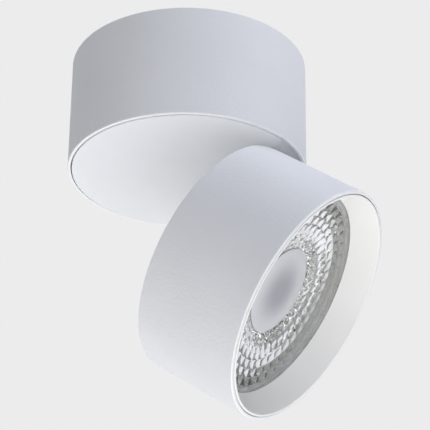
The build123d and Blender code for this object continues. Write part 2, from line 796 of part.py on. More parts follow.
lead_end_y = lead_offset + lead_side_run
with BuildPart() as turntable_lead:
    add_lead(
        [
            (0, 0, lead_split_z - lead_split_gap),
            (0, 0, lead_cross_z),
            (leg_x, lead_offset, lead_cross_z),
            (leg_x, lead_offset, pin_z),
            (hinge_radius, lead_offset, pin_z),
            (hinge_radius, lead_end_y, pin_z),
        ],
        [lead_bend, lead_bend, lead_bend, lead_small_bend],
        lead_diameter,
    )
turntable_lead.part.label = "turntable_lead"
export_step(turntable_lead.part, "parts/turntable_lead.step")

# ---------------------------------------------------------------- head: can
with BuildPart() as head_housing:
    with BuildSketch(head_section):
        with Locations(((body_radius + bore_radius) / 2, head_length / 2)):
            Rectangle(can_wall, head_length)
    revolve(axis=head_axis)
    fillet(
        [e for e in head_housing.edges().filter_by(GeomType.CIRCLE) if abs(e.radius - body_radius) < 0.01],
        rim_round,
    )
    with BuildSketch(head.offset(sink_front)):
        for angle in housing_boss_angles:
            with Locations(on_circle(housing_boss_circle, angle)):
                Circle(housing_boss_radius)
    extrude(amount=-housing_boss_length)
    with BuildSketch(head.offset(sink_front)):
        for angle in housing_boss_angles:
            with Locations(on_circle(housing_boss_circle, angle)):
                Circle(small_hole)
    extrude(amount=-housing_boss_length * 0.8, mode=Mode.SUBTRACT)
head_housing.part.label = "head_housing"
export_step(head_housing.part, "parts/head_housing.step")

# ---------------------------------------------------------------- head: back plate with the hinge ears
arm_slot_inner = leg_x - arm_thickness / 2 - 2 * fit_gap
arm_slot_outer = hinge_radius + arm_reach_thickness / 2 + 3 * fit_gap
lead_slot_inner = leg_x - lead_radius - 2 * fit_gap
lead_slot_outer = hinge_radius + lead_radius + 2 * fit_gap
back_radius = bore_radius - fit_gap
with BuildPart() as back_plate:
    with BuildSketch(head.offset(back_inner)):
        Circle(back_radius)
        with Locations(((arm_slot_inner + arm_slot_outer) / 2, 0)):
            Rectangle(arm_slot_outer - arm_slot_inner, 2 * ear_inner, mode=Mode.SUBTRACT)
        with Locations(((lead_slot_inner + lead_slot_outer) / 2, lead_offset)):
            Rectangle(lead_slot_outer - lead_slot_inner, lead_diameter + 2 * fit_gap, mode=Mode.SUBTRACT)
        with Locations((-vent_offset, 0)):
            with GridLocations(vent_pitch, 0, vent_count, 1):
                SlotOverall(vent_length, vent_width, rotation=90, mode=Mode.SUBTRACT)
    extrude(amount=back_thickness)
    fillet(back_plate.faces().sort_by(head_axis)[-1].outer_wire().edges(), rim_round)
    with BuildSketch(head_section.offset(ear_inner), head_section.offset(-ear_outer)):
        with Locations((hinge_radius, pin_depth)):
            Circle(ear_radius)
        with Locations((hinge_radius, (pin_depth + back_inner) / 2)):
            Rectangle(2 * ear_radius, back_inner - pin_depth)
    extrude(amount=ear_thickness)
    with BuildSketch(head_section):
        with Locations((hinge_radius, pin_depth)):
            Circle(pin_bore)
    extrude(amount=ear_outer + ear_thickness, both=True, mode=Mode.SUBTRACT)
    with BuildSketch(head.offset(back_inner)):
        for angle in post_angles:
            with Locations(on_circle(post_circle, angle)):
                Circle(clear_hole)
    extrude(amount=back_thickness, mode=Mode.SUBTRACT)
back_plate.part.label = "back_plate"
export_step(back_plate.part, "parts/back_plate.step")

with BuildPart() as back_plate_screws:
    for angle in post_angles:
        x, y = on_circle(post_circle, angle)
        seat = Plane(origin=head_point(x, y, back_outer), x_dir=head.x_dir, z_dir=head.z_dir)
        add_screw(seat, small_shank, back_thickness + post_bite, back_screw_head)
back_plate_screws.part.label = "back_plate_screws"
export_step(back_plate_screws.part, "parts/back_plate_screws.step")

# ---------------------------------------------------------------- hinge pin, nut and washers
pin_seat = Plane(origin=(hinge_radius, ear_outer, pin_z), z_dir=(0, 1, 0))
with BuildPart() as hinge_pin:
    add_screw(pin_seat, pin_diameter, 2 * ear_outer + nut_thickness + pin_overrun, pin_head)
hinge_pin.part.label = "hinge_pin"
export_step(hinge_pin.part, "parts/hinge_pin.step")

with BuildPart() as hinge_nut:
    with BuildSketch(pin_seat.offset(-2 * ear_outer)):
        RegularPolygon(nut_radius, 6)
        Circle(pin_bore, mode=Mode.SUBTRACT)
    extrude(amount=-nut_thickness)
hinge_nut.part.label = "hinge_nut"
export_step(hinge_nut.part, "parts/hinge_nut.step")

with BuildPart() as hinge_washers:
    washer_start = arm_width / 2 + washer_gap
    washer_far = -washer_start - washer_thickness
    with BuildSketch(pin_seat.offset(washer_start - ear_outer), pin_seat.offset(washer_far - ear_outer)):
        Circle(knuckle_radius - 0.2)
        Circle(pin_bore, mode=Mode.SUBTRACT)
    extrude(amount=washer_thickness)
hinge_washers.part.label = "hinge_washers"
export_step(hinge_washers.part, "parts/hinge_washers.step")

# ---------------------------------------------------------------- heat sink
fin_reach = sink_radius - fin_edge_gap
fin_count = 2 * int((fin_reach - fin_thickness) / fin_pitch) + 1
cob_screw_plan = [(side * cob_screw_spacing / 2, 0) for side in (-1, 1)]
with BuildPart() as heat_sink:
    with BuildSketch(head.offset(sink_front)):
        Circle(sink_radius)
    extrude(amount=sink_thickness)
    with BuildSketch(head.offset(sink_back)):
        with GridLocations(0, fin_pitch, 1, fin_count):
            Rectangle(2 * fin_reach, fin_thickness)
        Circle(fin_reach, mode=Mode.INTERSECT)
    extrude(amount=fin_height)
    with BuildSketch(head.offset(sink_back)):
        for angle in housing_boss_angles:
            with Locations(on_circle(housing_boss_circle, angle)):
                Circle(screw_well)
        with Locations(wire_hole_at):
            Circle(wire_well)
    extrude(amount=fin_height, mode=Mode.SUBTRACT)
    with BuildSketch(head.offset(sink_back)):
        for angle in post_angles:
            with Locations(on_circle(post_circle, angle)):
                Circle(post_radius)
    extrude(amount=back_inner - sink_back)
    with BuildSketch(head.offset(back_inner)):
        for angle in post_angles:
            with Locations(on_circle(post_circle, angle)):
                Circle(small_hole)
    extrude(amount=-post_hole_depth, mode=Mode.SUBTRACT)
    with BuildSketch(head.offset(sink_front)):
        for angle in housing_boss_angles:
            with Locations(on_circle(housing_boss_circle, angle)):
                Circle(clear_hole)
        with Locations(wire_hole_at):
            Circle(lead_radius + fit_gap)
        with Locations(*cob_screw_plan):
            Circle(thin_clear_hole)
    extrude(amount=sink_thickness, mode=Mode.SUBTRACT)
heat_sink.part.label = "heat_sink"
export_step(heat_sink.part, "parts/heat_sink.step")

with BuildPart() as heat_sink_screws:
    for angle in housing_boss_angles:
        x, y = on_circle(housing_boss_circle, angle)
        seat = Plane(origin=head_point(x, y, sink_back), x_dir=head.x_dir, z_dir=head.z_dir)
        add_screw(seat, small_shank, sink_thickness + sink_bite, sink_screw_head)
heat_sink_screws.part.label = "heat_sink_screws"
export_step(heat_sink_screws.part, "parts/heat_sink_screws.step")

# ---------------------------------------------------------------- light source and its holder
cob_front = sink_front - cob_thickness
with BuildPart() as cob_board:
    with BuildSketch(head.offset(cob_front)):
        Rectangle(cob_size, cob_size)
    extrude(amount=cob_thickness)
cob_board.part.label = "cob_board"
export_step(cob_board.part, "parts/cob_board.step")

with BuildPart() as cob_emitter:
    with BuildSketch(head.offset(cob_front)):
        Circle(emitter_radius)
    extrude(amount=-emitter_thickness)
cob_emitter.part.label = "cob_emitter"
export_step(cob_emitter.part, "parts/cob_emitter.step")

cob_holder_front = sink_front - cob_holder_height
window_radius = emitter_radius + cob_window_gap
with BuildPart() as cob_holder:
    with BuildSketch(head_section):
        with BuildLine():
            Polyline(
                (window_radius, sink_front),
                (window_radius, cob_front - running_gap),
                (window_radius + cob_window_slope, cob_holder_front),
                (cob_holder_radius, cob_holder_front),
                (cob_holder_radius, sink_front),
                close=True,
            )
        make_face()
    revolve(axis=head_axis)
    with BuildSketch(head.offset(cob_front - running_gap)):
        Rectangle(cob_size + fit_gap, cob_size + fit_gap)
        with Locations(wire_hole_at):
            Rectangle(wire_notch_length, wire_notch_width)
    extrude(amount=cob_thickness + running_gap, mode=Mode.SUBTRACT)
    with BuildSketch(head.offset(cob_holder_front)):
        with Locations(*cob_screw_plan):
            Circle(thin_clear_hole)
    extrude(amount=cob_holder_height, mode=Mode.SUBTRACT)
cob_holder.part.label = "cob_holder"
export_step(cob_holder.part, "parts/cob_holder.step")

with BuildPart() as cob_screws:
    for x, y in cob_screw_plan:
        seat = Plane(origin=head_point(x, y, cob_holder_front), x_dir=head.x_dir, z_dir=-head.z_dir)
        add_screw(seat, thin_shank, cob_holder_height + cob_bite, cob_screw_head)
cob_screws.part.label = "cob_screws"
export_step(cob_screws.part, "parts/cob_screws.step")

# ---------------------------------------------------------------- lens holder, lens, diffuser, baffle
holder_outer = cone_radius + holder_gap + holder_wall
holder_flange = lens_radius
with BuildPart() as lens_holder:
    with BuildSketch(head_section):
        with BuildLine():
            Polyline(
                (cob_holder_radius + fit_gap, sink_front),
                (holder_outer, sink_front),
                (holder_outer, lens_back + holder_wall),
                (holder_flange, lens_back + holder_wall),
                (holder_flange, lens_back),
                (holder_outer - holder_wall, lens_back),
                (holder_outer - holder_wall, sink_front - holder_wall),
                (cob_holder_radius + fit_gap, sink_front - holder_wall),
                close=True,
            )
        make_face()
    revolve(axis=head_axis)
lens_holder.part.label = "lens_holder"
export_step(lens_holder.part, "parts/lens_holder.step")


def facet_rings(radius_from, radius_to, depth_from, depth_to, rows):
    """Outlines of a faceted frustum, each turned half a facet from the one before."""
    rings = []
    for row in range(rows + 1):
        share = row / rows
        with BuildSketch(head.offset(depth_from + (depth_to - depth_from) * share)) as ring:
            RegularPolygon(
                radius_from + (radius_to - radius_from) * share,
                facets_round,
                rotation=(row % 2) * 180 / facets_round,
            )
        rings.append(ring.sketch.face())
    return rings


with BuildPart() as optic_lens:
    with BuildSketch(head.offset(baffle_depth)):
        Circle(lens_radius)
    extrude(amount=lens_flange)
    loft(facet_rings(cone_radius, cone_foot_radius, lens_back, cone_foot, facet_rows), ruled=True)
    well_rings = facet_rings(well_radius, well_top_radius, cone_foot, well_top, well_rows)
    loft(well_rings, ruled=True, mode=Mode.SUBTRACT)
    bowl_rings = facet_rings(bowl_radius, bowl_floor_radius, baffle_depth, bowl_floor, bowl_rows)
    loft(bowl_rings, ruled=True, mode=Mode.SUBTRACT)
optic_lens.part.label = "optic_lens"
export_step(optic_lens.part, "parts/optic_lens.step")

with BuildPart() as diffuser_disc:
    with BuildSketch(head.offset(bowl_floor)):
        Circle(bowl_floor_radius * math.cos(math.pi / facets_round) - running_gap)
    extrude(amount=-diffuser_thickness)
diffuser_disc.part.label = "diffuser_disc"
export_step(diffuser_disc.part, "parts/diffuser_disc.step")

skirt_depth = baffle_depth / 2
rib_radius = bore_radius - pin_clearance
with BuildPart() as baffle_ring:
    slope = baffle_narrowing / (baffle_depth + baffle_proud)
    knee = baffle_mouth - slope * (skirt_depth + baffle_proud) + baffle_wall
    with BuildSketch(head_section) as baffle_outline:
        with BuildLine():
            Polyline(
                (baffle_mouth, -baffle_proud),
                (baffle_outer, -baffle_proud),
                (baffle_outer, skirt_depth),
                (knee, skirt_depth),
                (baffle_throat + baffle_wall, baffle_depth - baffle_wall),
                (baffle_throat + baffle_wall, baffle_depth),
                (baffle_throat, baffle_depth),
                close=True,
            )
        make_face()
        fillet(baffle_outline.vertices().sort_by(Axis.Y)[:2], baffle_round)
    revolve(axis=head_axis)
    with BuildSketch(head.offset(skirt_depth / 2)):
        with PolarLocations(baffle_outer - rib_sink, baffle_ribs):
            Rectangle(2 * (rib_radius - baffle_outer), rib_width)
    extrude(amount=skirt_depth / 2)
baffle_ring.part.label = "baffle_ring"
export_step(baffle_ring.part, "parts/baffle_ring.step")

# ---------------------------------------------------------------- lead inside the head
with BuildPart() as head_lead:
    route_depth = fin_top + lead_radius + lead_over_fins
    add_lead(
        [
            head_point(hinge_radius, lead_end_y + lead_split_gap, pin_depth),
            head_point(hinge_radius, lead_end_y + lead_bend, pin_depth),
            head_point(lead_turn_x, lead_end_y + 1.3 * lead_bend, route_depth),
            head_point(*wire_hole_at, route_depth),
            head_point(*wire_hole_at, cob_front + lead_over_cob),
        ],
        [lead_small_bend, lead_bend, lead_bend],
        lead_diameter,
    )
head_lead.part.label = "head_lead"
export_step(head_lead.part, "parts/head_lead.step")
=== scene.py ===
# Surface mounted ceiling spotlight: the finish of every piece, a faceted lens, soft light and the camera.
import json
import math

import bmesh
import bpy
from mathutils import Matrix, Vector


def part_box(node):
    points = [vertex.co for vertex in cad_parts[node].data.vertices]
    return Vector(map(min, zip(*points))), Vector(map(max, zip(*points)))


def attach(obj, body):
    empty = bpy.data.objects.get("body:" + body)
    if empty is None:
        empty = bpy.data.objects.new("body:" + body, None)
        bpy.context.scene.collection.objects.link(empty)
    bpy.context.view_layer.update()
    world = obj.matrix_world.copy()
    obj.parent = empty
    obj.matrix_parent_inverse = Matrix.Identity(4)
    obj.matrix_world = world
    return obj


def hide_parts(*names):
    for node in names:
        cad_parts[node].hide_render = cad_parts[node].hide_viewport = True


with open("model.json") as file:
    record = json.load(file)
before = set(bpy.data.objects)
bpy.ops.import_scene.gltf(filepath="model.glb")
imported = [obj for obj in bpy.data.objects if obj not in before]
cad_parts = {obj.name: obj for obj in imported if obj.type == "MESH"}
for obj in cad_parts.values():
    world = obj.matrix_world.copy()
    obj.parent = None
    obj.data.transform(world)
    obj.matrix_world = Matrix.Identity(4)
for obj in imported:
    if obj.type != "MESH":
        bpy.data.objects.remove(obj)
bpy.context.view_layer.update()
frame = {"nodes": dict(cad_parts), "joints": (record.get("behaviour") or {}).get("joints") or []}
print("frame loaded")

scene = bpy.context.scene
millimetre = 0.001

# the head's own frame in millimetres: the middle of its front edge, X towards the hinge, Z to its back
tiltJoint = next(joint for joint in frame["joints"] if joint["name"] == "tilt")
pinDepth = 40.5  # of the hinge pin, back from the front edge
tiltAtRest = math.radians(-tiltJoint["range_deg"][0])
headX = Vector((math.cos(tiltAtRest), 0, math.sin(tiltAtRest)))
headZ = Vector((-math.sin(tiltAtRest), 0, math.cos(tiltAtRest)))
pin = Vector(tiltJoint["pos_m"]) / millimetre
headOrigin = pin - headX * pin.x - headZ * pinDepth


def headPoint(radius, angle, depth):
    inHead = headX * radius * math.cos(angle) + headZ * depth + Vector((0, radius * math.sin(angle), 0))
    return (headOrigin + inHead) * millimetre


def linear(hexColour):
    channels = [int(hexColour[i:i + 2], 16) / 255 for i in (1, 3, 5)]
    return [c / 12.92 if c <= 0.04045 else ((c + 0.055) / 1.055) ** 2.4 for c in channels] + [1.0]


def addNode(tree, kind, values=None, links=None, **settings):
    node = tree.nodes.new(kind)
    for name, value in settings.items():
        setattr(node, name, value)
    for name, value in (values or {}).items():
        node.inputs[name].default_value = value
    for name, socket in (links or {}).items():
        tree.links.new(socket, node.inputs[name])
    return node


def startMaterial(name):
    material = bpy.data.materials.new(name)
    material.use_nodes = True
    tree = material.node_tree
    tree.nodes.clear()
    place = addNode(tree, "ShaderNodeTexCoord").outputs["Object"]  # metres, in the piece's own frame
    return material, tree, place


def endMaterial(tree, shader):
    addNode(tree, "ShaderNodeOutputMaterial", links={"Surface": shader.outputs[0]})


def perMillimetre(size):
    return 1 / (size * millimetre)


# one colour where the mask is below low, the other above high, and a blend between
def twoTone(tree, mask, colours, low, high):
    ramp = addNode(tree, "ShaderNodeValToRGB", links={"Fac": mask})
    for stop, position, colour in zip(ramp.color_ramp.elements, (low, high), colours):
        stop.position = position
        stop.color = linear(colour)
    return ramp.outputs["Color"]


# 0 to 1 between two distances from the head's axis, in millimetres
def fromAxis(tree, place, near, far):
    inHead = addNode(tree, "ShaderNodeVectorMath", {1: headOrigin * millimetre}, {0: place},
                     operation="SUBTRACT")
    across = addNode(tree, "ShaderNodeVectorMath", {1: headZ}, {0: inHead.outputs["Vector"]},
                     operation="CROSS_PRODUCT")
    distance = addNode(tree, "ShaderNodeVectorMath", links={0: across.outputs["Vector"]}, operation="LENGTH")
    share = addNode(tree, "ShaderNodeMapRange", {
        "From Min": near * millimetre, "From Max": far * millimetre,
    }, {"Value": distance.outputs["Value"]}, interpolation_type="SMOOTHSTEP")
    return share.outputs["Result"]


# polyester powder baked on aluminium: matt, and its grit breaks every highlight into a soft bloom
powder = {
    "colours": ("#E2E3E6", "#E5E6E9"),  # where the coat is a little thinner, and where it is full
    "spread": (0.35, 0.6),  # of the slow pattern between the two colours
    "lip": "#EFF0F2",  # the cans' turned lips, rubbed smooth, with a painted highlight: lighter than the coat where the edges catch light
    "lipWidth": 0.5,  # mm
    "lipRoughness": 0.3,
    "grit": 1.1,  # mm, the real grit is near 0.3 and would not show in the render
    "gritRoughness": 0.6,  # of the pattern: how much the finest grains add
    "bumpHeight": 0.16,  # mm
    "patch": 40.0,  # mm, slow change in thickness of the coat
    "roughness": (0.52, 0.66),
    "ior": 1.5,
}


# 1 on the lower lips of both cans: within a width of the head's front edge, and of the ceiling can's rim
def lipMask(tree, place, width):
    inHead = addNode(tree, "ShaderNodeVectorMath", {1: headZ}, {0: place}, operation="DOT_PRODUCT")
    front = headOrigin.dot(headZ) * millimetre
    onHead = addNode(tree, "ShaderNodeMath", {1: front + width * millimetre}, {0: inHead.outputs["Value"]},
                     operation="LESS_THAN")
    height = addNode(tree, "ShaderNodeSeparateXYZ", links={0: place})
    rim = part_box("base_housing")[0][2]
    onCan = addNode(tree, "ShaderNodeMath", {1: rim, 2: width * millimetre}, {0: height.outputs["Z"]},
                    operation="COMPARE")
    onEither = addNode(tree, "ShaderNodeMath", links={0: onHead.outputs[0], 1: onCan.outputs[0]},
                       operation="MAXIMUM")
    return onEither.outputs[0]


def powderCoat(name, values):
    material, tree, place = startMaterial(name)
    grit = addNode(tree, "ShaderNodeTexNoise", {
        "Scale": perMillimetre(values["grit"]), "Detail": 3.0, "Roughness": values["gritRoughness"],
    }, {"Vector": place})
    patches = addNode(tree, "ShaderNodeTexNoise", {
        "Scale": perMillimetre(values["patch"]), "Detail": 2.0,
    }, {"Vector": place})
    low, high = values["roughness"]
    rough = addNode(tree, "ShaderNodeMapRange", {"To Min": low, "To Max": high}, {
        "Value": grit.outputs["Fac"]})
    bump = addNode(tree, "ShaderNodeBump", {
        "Strength": 1.0, "Distance": values["bumpHeight"] * millimetre,
    }, {"Height": grit.outputs["Fac"]})
    lip = lipMask(tree, place, values["lipWidth"])
    coat = twoTone(tree, patches.outputs["Fac"], values["colours"], *values["spread"])
    # a colour mix has its two colours in sockets 6 and 7, a number mix its numbers in 2 and 3
    # painted highlight: the lips get a lighter colour than the coat, besides their smoother finish
    colour = addNode(tree, "ShaderNodeMix", {7: linear(values["lip"])}, {0: lip, 6: coat}, data_type="RGBA")
    sheen = addNode(tree, "ShaderNodeMix", {3: values["lipRoughness"]}, {0: lip, 2: rough.outputs["Result"]})
    shader = addNode(tree, "ShaderNodeBsdfPrincipled", {"IOR": values["ior"]}, {
        "Base Color": colour.outputs[2],
        "Roughness": sheen.outputs[0],
        "Normal": bump.outputs["Normal"],
    })
    endMaterial(tree, shader)
    return material


# moulded plastics, and the rubbers and ceramics that look like them: an even skin with a fine grain, and a
# soft sheen
def mouldedPlastic(name, values):
    material, tree, place = startMaterial(name)
    grain = addNode(tree, "ShaderNodeTexVoronoi", {
        "Scale": perMillimetre(values["grain"]),
    }, {"Vector": place})
    cloud = addNode(tree, "ShaderNodeTexNoise", {
        "Scale": perMillimetre(values["patch"]), "Detail": 3.0,
    }, {"Vector": place})
    bump = addNode(tree, "ShaderNodeBump", {
        "Strength": 0.5, "Distance": values["bumpHeight"] * millimetre,
    }, {"Height": grain.outputs["Distance"]})
    low, high = values["roughness"]
    rough = addNode(tree, "ShaderNodeMapRange", {"To Min": low, "To Max": high}, {
        "Value": cloud.outputs["Fac"]})
    shader = addNode(tree, "ShaderNodeBsdfPrincipled", {"IOR": values["ior"]}, {
        "Base Color": twoTone(tree, cloud.outputs["Fac"], values["colours"], low=0.4, high=0.65),
        "Roughness": rough.outputs["Result"],
        "Normal": bump.outputs["Normal"],
    })
    endMaterial(tree, shader)
    return material


# metals: the coating's crystals or the rolling marks change the roughness more than the colour
def metal(name, values):
    material, tree, place = startMaterial(name)
    stretch = addNode(tree, "ShaderNodeMapping", {"Scale": values["stretch"]}, {"Vector": place})
    marks = addNode(tree, "ShaderNodeTexNoise", {
        "Scale": perMillimetre(values["grain"]), "Detail": 4.0,
    }, {"Vector": stretch.outputs["Vector"]})
    crystals = addNode(tree, "ShaderNodeTexVoronoi", {
        "Scale": perMillimetre(values["spangle"]),
    }, {"Vector": place})
    bump = addNode(tree, "ShaderNodeBump", {
        "Strength": 0.4, "Distance": values["bumpHeight"] * millimetre,
    }, {"Height": marks.outputs["Fac"]})
    low, high = values["roughness"]
    rough = addNode(tree, "ShaderNodeMapRange", {"To Min": low, "To Max": high}, {
        "Value": marks.outputs["Fac"]})
    shader = addNode(tree, "ShaderNodeBsdfPrincipled", {"Metallic": 1.0}, {
        "Base Color": twoTone(tree, crystals.outputs["Color"], values["colours"], low=0.2, high=0.8),
        "Roughness": rough.outputs["Result"],
        "Normal": bump.outputs["Normal"],
    })
    endMaterial(tree, shader)
    return material


# polycarbonate moulded in a polished tool: clear, and its facets flash and hold dark edges
clearPlastic = {
    "tint": "#FDFEFE",
    "ior": 1.585,
    "roughness": 0.03,
    "ripple": 9.0,  # mm, the slight waves that shrinkage leaves
    "rippleHeight": 0.01,
}


def clearPolycarbonate(name, values):
    material, tree, place = startMaterial(name)
    ripple = addNode(tree, "ShaderNodeTexNoise", {
        "Scale": perMillimetre(values["ripple"]),
    }, {"Vector": place})
    bump = addNode(tree, "ShaderNodeBump", {
        "Strength": 0.6, "Distance": values["rippleHeight"] * millimetre,
    }, {"Height": ripple.outputs["Fac"]})
    shader = addNode(tree, "ShaderNodeBsdfPrincipled", {
        "Base Color": linear(values["tint"]), "IOR": values["ior"], "Roughness": values["roughness"],
        "Transmission Weight": 1.0,
    }, {"Normal": bump.outputs["Normal"]})
    # lamps shine through to what lies behind, as through real clear plastic
    through = addNode(tree, "ShaderNodeBsdfTransparent")
    path = addNode(tree, "ShaderNodeLightPath")
    endMaterial(tree, addNode(tree, "ShaderNodeMixShader", links={
        0: path.outputs["Is Shadow Ray"], 1: shader.outputs[0], 2: through.outputs[0]}))
    return material


# moulded polycarbonate, the cup that holds the lens, with painted light and shade: its floor is painted
# pale, as lit through the facets, while its outer ring and wall are painted dark as shade and give the
# smooth grey band behind the lens's edge
lensHolder = {
    # painted light and shade: a pale floor round the axis, a dark outer ring and wall, a lighter flange
    "floor": "#FAF9FD",
    "cornerShade": "#8B8B86",
    "flange": "#C4C4C2",  # painted light under the lens's edge, lighter where light reaches it again
    "fade": (36.3, 39.3),  # mm from the head's axis
    "flangeFade": (41.6, 42.0),
    "grain": 0.5,  # mm, coarser than the real one so that it shows
    "bumpHeight": 0.01,  # mm
    "roughness": 0.42,
    "ior": 1.58,
}


def holderPolycarbonate(name, values):
    material, tree, place = startMaterial(name)
    grain = addNode(tree, "ShaderNodeTexVoronoi", {
        "Scale": perMillimetre(values["grain"]),
    }, {"Vector": place})
    bump = addNode(tree, "ShaderNodeBump", {
        "Strength": 0.5, "Distance": values["bumpHeight"] * millimetre,
    }, {"Height": grain.outputs["Distance"]})
    # painted light and shade: pale near the axis, dark further out, lighter again on the flange
    outwards = fromAxis(tree, place, *values["fade"])
    cup = twoTone(tree, outwards, (values["floor"], values["cornerShade"]), low=0.0, high=1.0)
    colour = addNode(tree, "ShaderNodeMix", {7: linear(values["flange"])}, {
        0: fromAxis(tree, place, *values["flangeFade"]), 6: cup}, data_type="RGBA")
    shader = addNode(tree, "ShaderNodeBsdfPrincipled", {
        "Roughness": values["roughness"], "IOR": values["ior"],
    }, {
        "Base Color": colour.outputs[2],
        "Normal": bump.outputs["Normal"],
    })
    endMaterial(tree, shader)
    return material


# etched polycarbonate: it spreads what shines through; the soft grey disc in the middle of the lens is
# painted shade
frostedPlastic = {
    "colours": ("#BABAC1", "#EDEDF0"),
    "shade": (3.0, 17.0),  # mm from the middle: painted shade, darkest in the middle, where the light source lies behind
    "etch": 0.4,  # mm, the real etch is near 0.05 and would not show in the render
    "bumpHeight": 0.02,  # mm
    "seeThrough": 0.35,
    "roughness": 0.55,
    "ior": 1.585,
}


def frostedPolycarbonate(name, values):
    material, tree, place = startMaterial(name)
    etch = addNode(tree, "ShaderNodeTexNoise", {
        "Scale": perMillimetre(values["etch"]), "Detail": 3.0,
    }, {"Vector": place})
    bump = addNode(tree, "ShaderNodeBump", {
        "Strength": 1.0, "Distance": values["bumpHeight"] * millimetre,
    }, {"Height": etch.outputs["Fac"]})
    # painted shade: the colour darkens towards the middle of the disc
    outwards = fromAxis(tree, place, *values["shade"])
    shader = addNode(tree, "ShaderNodeBsdfPrincipled", {
        "Roughness": values["roughness"], "IOR": values["ior"], "Transmission Weight": values["seeThrough"],
    }, {
        "Base Color": twoTone(tree, outwards, values["colours"], low=0.0, high=1.0),
        "Normal": bump.outputs["Normal"],
    })
    endMaterial(tree, shader)
    return material


# grain, patch and bump height in mm; the real grain is near 0.1 and would not show in the render
plastics = {
    # white ABS, moulded with a spark-eroded skin: bright and soft, with no mirror image in it
    "baffle_abs": {"colours": ("#F4F3F0", "#F5F4F2"), "grain": 0.6, "patch": 12.0, "bumpHeight": 0.008,
                   "roughness": (0.42, 0.45), "ior": 1.52},
    # white ABS, moulded smoother: satin, and it takes the head's soft shadow
    "turntable_abs": {"colours": ("#E5E7EA", "#E7E9EC"), "grain": 0.6, "patch": 16.0, "bumpHeight": 0.008,
                      "roughness": (0.47, 0.5), "ior": 1.52},
    # PBT, moulded: off-white and dry-looking
    "led_holder_pbt": {"colours": ("#DEDDD8", "#E6E5E1"), "grain": 0.4, "patch": 6.0, "bumpHeight": 0.008,
                       "roughness": (0.4, 0.5), "ior": 1.55},
    # filled polycarbonate, moulded: warm white with a little shine
    "driver_polycarbonate": {"colours": ("#DCDCD8", "#E4E4E0"), "grain": 0.5, "patch": 10.0,
                             "bumpHeight": 0.015, "roughness": (0.45, 0.55), "ior": 1.58},
    # polyamide, moulded: creamy and slightly waxy
    "terminal_polyamide": {"colours": ("#D6D5CC", "#E0DFD8"), "grain": 0.4, "patch": 7.0, "bumpHeight": 0.01,
                           "roughness": (0.35, 0.45), "ior": 1.53},
    # acetal, turned: milky and slippery, with a tight highlight
    "glide_acetal": {"colours": ("#E4E2DA", "#ECEAE4"), "grain": 0.5, "patch": 9.0, "bumpHeight": 0.006,
                     "roughness": (0.25, 0.35), "ior": 1.48},
    # glass fibre and epoxy under solder lacquer: deep green and lightly glossy
    "circuit_board": {"colours": ("#1F5A35", "#2A6B40"), "grain": 0.8, "patch": 5.0, "bumpHeight": 0.01,
                      "roughness": (0.3, 0.4), "ior": 1.5},
    # ferrite, pressed and fired: dark and stony
    "ferrite_core": {"colours": ("#2C2A29", "#3A3836"), "grain": 0.3, "patch": 4.0, "bumpHeight": 0.02,
                     "roughness": (0.5, 0.65), "ior": 1.6},
    # polyester film, shrunk on: dark, tight and shiny
    "shrink_sleeve": {"colours": ("#1D222E", "#262C3A"), "grain": 0.9, "patch": 5.0, "bumpHeight": 0.004,
                      "roughness": (0.18, 0.26), "ior": 1.5},
    # soft PVC, extruded round a wire: even and satin, here white and below in the mains colours
    "white_pvc": {"colours": ("#DCDCDC", "#E8E8E8"), "grain": 0.5, "patch": 6.0, "bumpHeight": 0.006,
                  "roughness": (0.4, 0.5), "ior": 1.53},
    "brown_pvc": {"colours": ("#5C3A24", "#6B452C"), "grain": 0.5, "patch": 6.0, "bumpHeight": 0.006,
                  "roughness": (0.4, 0.5), "ior": 1.53},
    "blue_pvc": {"colours": ("#2450A8", "#2C5CBC"), "grain": 0.5, "patch": 6.0, "bumpHeight": 0.006,
                 "roughness": (0.4, 0.5), "ior": 1.53},
    "green_yellow_pvc": {"colours": ("#3E8E41", "#E2CF2E"), "grain": 0.5, "patch": 3.0,
                         "bumpHeight": 0.006, "roughness": (0.4, 0.5), "ior": 1.53},
    # rubber, moulded: nearly matt, it swallows the light
    "black_rubber": {"colours": ("#1B1B1C", "#242426"), "grain": 0.5, "patch": 5.0, "bumpHeight": 0.02,
                     "roughness": (0.6, 0.75), "ior": 1.5},
    # the same in grey, round the thin lead
    "grey_rubber": {"colours": ("#B4B5B6", "#C2C3C4"), "grain": 0.5, "patch": 5.0, "bumpHeight": 0.02,
                    "roughness": (0.6, 0.75), "ior": 1.5},
    # alumina, pressed and fired: chalky off-white
    "led_ceramic": {"colours": ("#DCDAD2", "#E8E6E0"), "grain": 0.3, "patch": 4.0, "bumpHeight": 0.01,
                    "roughness": (0.4, 0.5), "ior": 1.6},
    # silicone, cast with phosphor: opaque yolk yellow and gently shiny
    "phosphor_silicone": {"colours": ("#D8B23A", "#E6C552"), "grain": 0.3, "patch": 3.0, "bumpHeight": 0.01,
                          "roughness": (0.25, 0.35), "ior": 1.41},
}

# grain, spangle and bump height in mm, and how much tighter the marks lie along each axis; real marks are
# several times finer and would not show in the render
metals = {
    # rolled steel, dipped in zinc: its crystals make flat patches, each a little lighter or darker
    "zinc_plated_sheet": {"colours": ("#A6AAAE", "#B2B6BA"), "grain": 1.2, "stretch": (1, 8, 1),
                          "spangle": 5.0, "bumpHeight": 0.008, "roughness": (0.36, 0.44)},
    # turned steel, plated with bright zinc: small hard glints along the turning marks
    "bright_zinc_screw": {"colours": ("#B4B6B8", "#C8CACC"), "grain": 0.5, "stretch": (1, 1, 6),
                          "spangle": 2.0, "bumpHeight": 0.006, "roughness": (0.22, 0.36)},
    # aluminium, die-cast: dull silver with a sandy skin
    "cast_aluminium": {"colours": ("#B3B5B7", "#C6C8CA"), "grain": 0.6, "stretch": (1, 1, 1), "spangle": 3.0,
                       "bumpHeight": 0.02, "roughness": (0.42, 0.58)},
    # brass, drawn: warm yellow with fine streaks along the bar
    "drawn_brass": {"colours": ("#B99A54", "#CDB06A"), "grain": 0.6, "stretch": (1, 6, 1), "spangle": 3.0,
                    "bumpHeight": 0.006, "roughness": (0.25, 0.38)},
}

